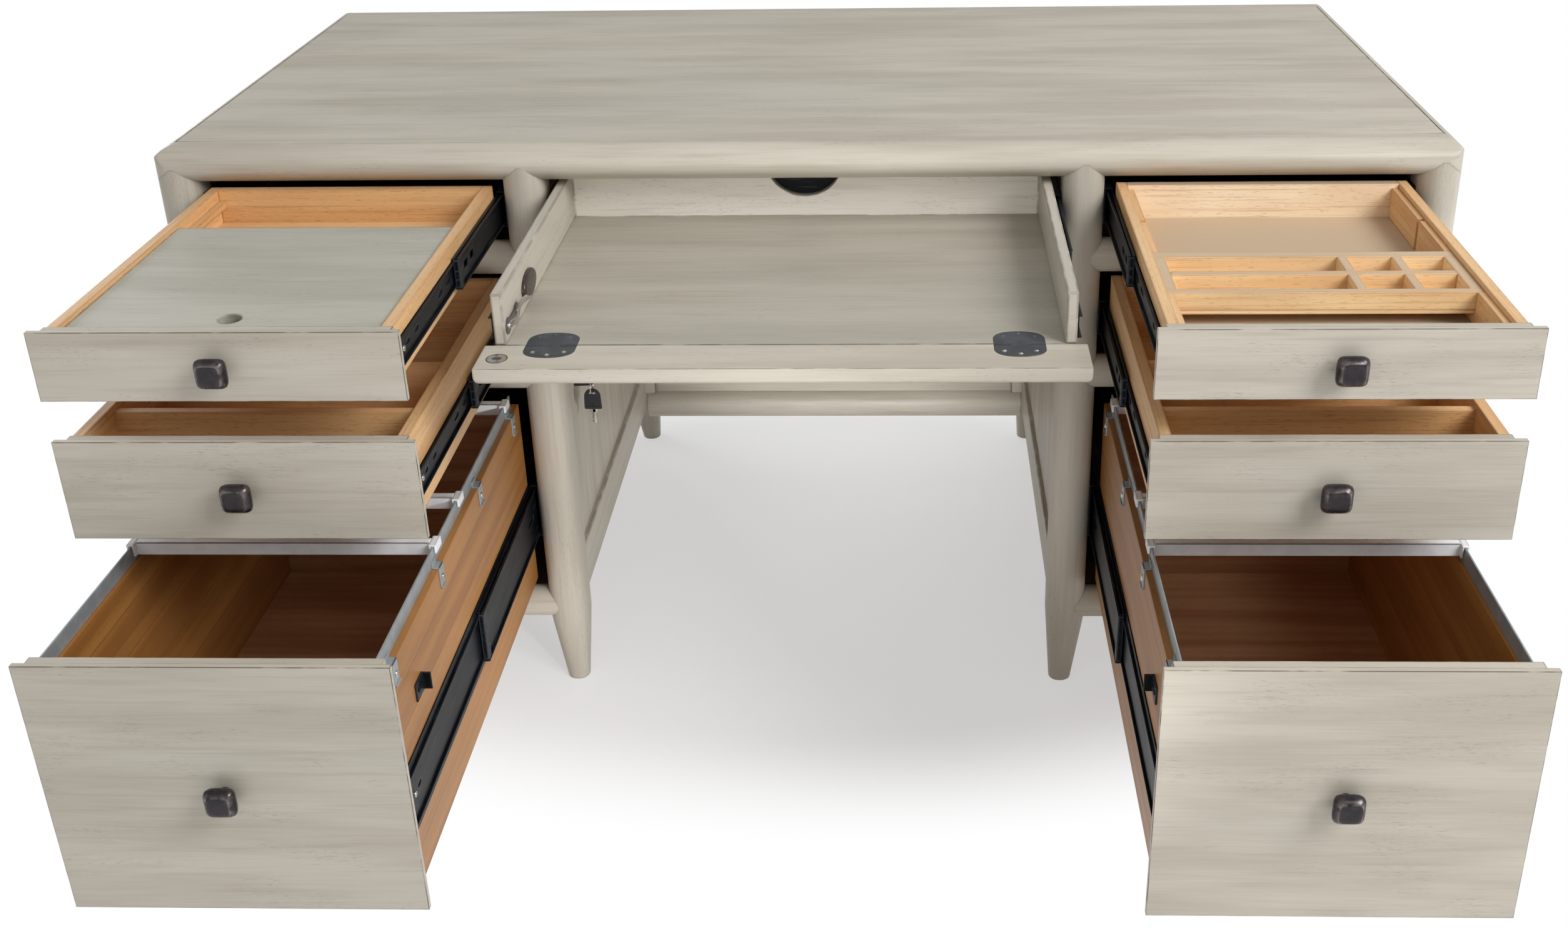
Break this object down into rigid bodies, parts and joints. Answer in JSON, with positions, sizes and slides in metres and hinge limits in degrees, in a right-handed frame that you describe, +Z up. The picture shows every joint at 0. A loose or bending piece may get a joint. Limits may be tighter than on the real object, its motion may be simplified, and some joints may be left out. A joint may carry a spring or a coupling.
{
  "type": "executive desk",
  "caption": "Executive desk: drawer pedestals either side of a kneehole with a pull-out keyboard tray and drop front, a rounded top and tapered legs.",
  "frame": {"origin": "on the floor, at the centre of the box that the desk fills with its drawers and tray pulled out as pictured", "axes": "+Z up, +X to the right along the desk as a sitter faces it, +Y from the sitter towards the back of the desk"},
  "size_m": [1.5494, 1.3056, 0.762],
  "materials": {
    "greige_lacquer": "brushed grey-beige glaze under satin lacquer",
    "honey_drawer_wood": "clear satin lacquer on fine straight grain",
    "dark_inner_wood": "unlit raw board",
    "black_slide_steel": "black electrophoretic coat",
    "pewter_knob": "dark pewter with rubbed edges",
    "grey_zinc_steel": "zinc plated strip",
    "pale_bar_aluminium": "anodised bars with white caps",
    "dark_hinge_steel": "dark nickel",
    "nickel": "polished nickel",
    "black_key_plastic": "moulded bow on a nickel blade",
    "brown_pad": "glossy oval pad"
  },
  "bodies": {
    "desk": {"top_panel": "greige_lacquer", "top_front_rail": "greige_lacquer", "top_edge_rails": "greige_lacquer", "outer_front_legs": "greige_lacquer", "inner_front_legs": "greige_lacquer", "rear_legs": "greige_lacquer", "drawer_rails": "greige_lacquer", "pedestal_panels": "greige_lacquer", "kneehole_panels": "greige_lacquer", "lower_rails": "greige_lacquer", "modesty_panel": "greige_lacquer", "pedestal_boards": "dark_inner_wood", "case_slides": "black_slide_steel", "lock_cylinder": "nickel"},
    "left_top_drawer": {"left_top_front": "greige_lacquer", "left_top_box": "honey_drawer_wood", "left_top_knob": "pewter_knob", "left_top_slides": "black_slide_steel"},
    "left_top_slide_middle": {"left_top_slide_middles": "black_slide_steel"},
    "right_top_drawer": {"right_top_front": "greige_lacquer", "right_top_box": "honey_drawer_wood", "right_top_knob": "pewter_knob", "right_top_slides": "black_slide_steel"},
    "right_top_slide_middle": {"right_top_slide_middles": "black_slide_steel"},
    "left_middle_drawer": {"left_middle_front": "greige_lacquer", "left_middle_box": "honey_drawer_wood", "left_middle_knob": "pewter_knob", "left_middle_slides": "black_slide_steel"},
    "left_middle_slide_middle": {"left_middle_slide_middles": "black_slide_steel"},
    "right_middle_drawer": {"right_middle_front": "greige_lacquer", "right_middle_box": "honey_drawer_wood", "right_middle_knob": "pewter_knob", "right_middle_slides": "black_slide_steel"},
    "right_middle_slide_middle": {"right_middle_slide_middles": "black_slide_steel"},
    "left_file_drawer": {"left_file_front": "greige_lacquer", "left_file_box": "honey_drawer_wood", "left_file_knob": "pewter_knob", "left_file_slides": "black_slide_steel", "left_file_rails": "grey_zinc_steel"},
    "left_file_slide_middle": {"left_file_slide_middles": "black_slide_steel"},
    "right_file_drawer": {"right_file_front": "greige_lacquer", "right_file_box": "honey_drawer_wood", "right_file_knob": "pewter_knob", "right_file_slides": "black_slide_steel", "right_file_rails": "grey_zinc_steel"},
    "right_file_slide_middle": {"right_file_slide_middles": "black_slide_steel"},
    "keyboard_tray": {"tray_board": "greige_lacquer", "tray_walls": "greige_lacquer", "tray_slides": "black_slide_steel", "tray_hinges_and_catch": "dark_hinge_steel", "tray_side_pad": "brown_pad"},
    "tray_slide_middle": {"tray_slide_middles": "black_slide_steel"},
    "tray_drop_front": {"drop_front": "greige_lacquer", "drop_front_hinges": "dark_hinge_steel"},
    "sliding_lid": {"left_top_lid": "greige_lacquer"},
    "organizer": {"right_top_organizer": "honey_drawer_wood"},
    "left_folder_bars": {"left_file_bars": "pale_bar_aluminium"},
    "right_folder_bars": {"right_file_bars": "pale_bar_aluminium"},
    "turning_key": {"lock_key": "black_key_plastic"},
    "spare_key": {"hanging_key": "black_key_plastic"}
  },
  "joints": [
    {"name": "left_top_drawer_slide", "type": "slide", "parent": "desk", "child": "left_top_drawer", "axis": [0, -1, 0], "range_m": [-0.4064, 0]},
    {"name": "left_top_middle_slide", "type": "slide", "parent": "desk", "child": "left_top_slide_middle", "axis": [0, -1, 0], "range_m": [-0.2032, 0]},
    {"name": "right_top_drawer_slide", "type": "slide", "parent": "desk", "child": "right_top_drawer", "axis": [0, -1, 0], "range_m": [-0.4064, 0]},
    {"name": "right_top_middle_slide", "type": "slide", "parent": "desk", "child": "right_top_slide_middle", "axis": [0, -1, 0], "range_m": [-0.2032, 0]},
    {"name": "left_middle_drawer_slide", "type": "slide", "parent": "desk", "child": "left_middle_drawer", "axis": [0, -1, 0], "range_m": [-0.4064, 0]},
    {"name": "left_middle_middle_slide", "type": "slide", "parent": "desk", "child": "left_middle_slide_middle", "axis": [0, -1, 0], "range_m": [-0.2032, 0]},
    {"name": "right_middle_drawer_slide", "type": "slide", "parent": "desk", "child": "right_middle_drawer", "axis": [0, -1, 0], "range_m": [-0.4064, 0]},
    {"name": "right_middle_middle_slide", "type": "slide", "parent": "desk", "child": "right_middle_slide_middle", "axis": [0, -1, 0], "range_m": [-0.2032, 0]},
    {"name": "left_file_drawer_slide", "type": "slide", "parent": "desk", "child": "left_file_drawer", "axis": [0, -1, 0], "range_m": [-0.5588, 0]},
    {"name": "left_file_middle_slide", "type": "slide", "parent": "desk", "child": "left_file_slide_middle", "axis": [0, -1, 0], "range_m": [-0.2794, 0]},
    {"name": "right_file_drawer_slide", "type": "slide", "parent": "desk", "child": "right_file_drawer", "axis": [0, -1, 0], "range_m": [-0.5588, 0]},
    {"name": "right_file_middle_slide", "type": "slide", "parent": "desk", "child": "right_file_slide_middle", "axis": [0, -1, 0], "range_m": [-0.2794, 0]},
    {"name": "keyboard_tray_slide", "type": "slide", "parent": "desk", "child": "keyboard_tray", "axis": [0, -1, 0], "range_m": [-0.33, 0.0256]},
    {"name": "tray_middle_slide", "type": "slide", "parent": "desk", "child": "tray_slide_middle", "axis": [0, -1, 0], "range_m": [-0.165, 0.0128]},
    {"name": "drop_front_hinge", "type": "hinge", "parent": "keyboard_tray", "child": "tray_drop_front", "pos_m": [0, -0.38305, 0.6564], "axis": [-1, 0, 0], "range_deg": [0, 90]},
    {"name": "lid_slide", "type": "slide", "parent": "left_top_drawer", "child": "sliding_lid", "axis": [0, 1, 0], "range_m": [0, 0.112]},
    {"name": "organizer_lift", "type": "slide", "parent": "right_top_drawer", "child": "organizer", "axis": [0, 0, 1], "range_m": [0, 0.06]},
    {"name": "left_bars_slide", "type": "slide", "parent": "left_file_drawer", "child": "left_folder_bars", "axis": [0, -1, 0], "range_m": [0, 0.15]},
    {"name": "right_bars_slide", "type": "slide", "parent": "right_file_drawer", "child": "right_folder_bars", "axis": [0, -1, 0], "range_m": [0, 0.15]},
    {"name": "lock_turn", "type": "hinge", "parent": "desk", "child": "turning_key", "pos_m": [-0.3167, -0.00505, 0.431], "axis": [1, 0, 0], "range_deg": [0, 90]},
    {"name": "spare_key_swing", "type": "hinge", "parent": "turning_key", "child": "spare_key", "pos_m": [-0.2862, -0.00505, 0.4184], "axis": [1, 0, 0], "range_deg": [-40, 40]}
  ],
  "couplings": [
    {"joint": "left_top_middle_slide", "follows": "left_top_drawer_slide", "ratio": 0.5},
    {"joint": "right_top_middle_slide", "follows": "right_top_drawer_slide", "ratio": 0.5},
    {"joint": "left_middle_middle_slide", "follows": "left_middle_drawer_slide", "ratio": 0.5},
    {"joint": "right_middle_middle_slide", "follows": "right_middle_drawer_slide", "ratio": 0.5},
    {"joint": "left_file_middle_slide", "follows": "left_file_drawer_slide", "ratio": 0.5},
    {"joint": "right_file_middle_slide", "follows": "right_file_drawer_slide", "ratio": 0.5},
    {"joint": "tray_middle_slide", "follows": "keyboard_tray_slide", "ratio": 0.5}
  ]
}
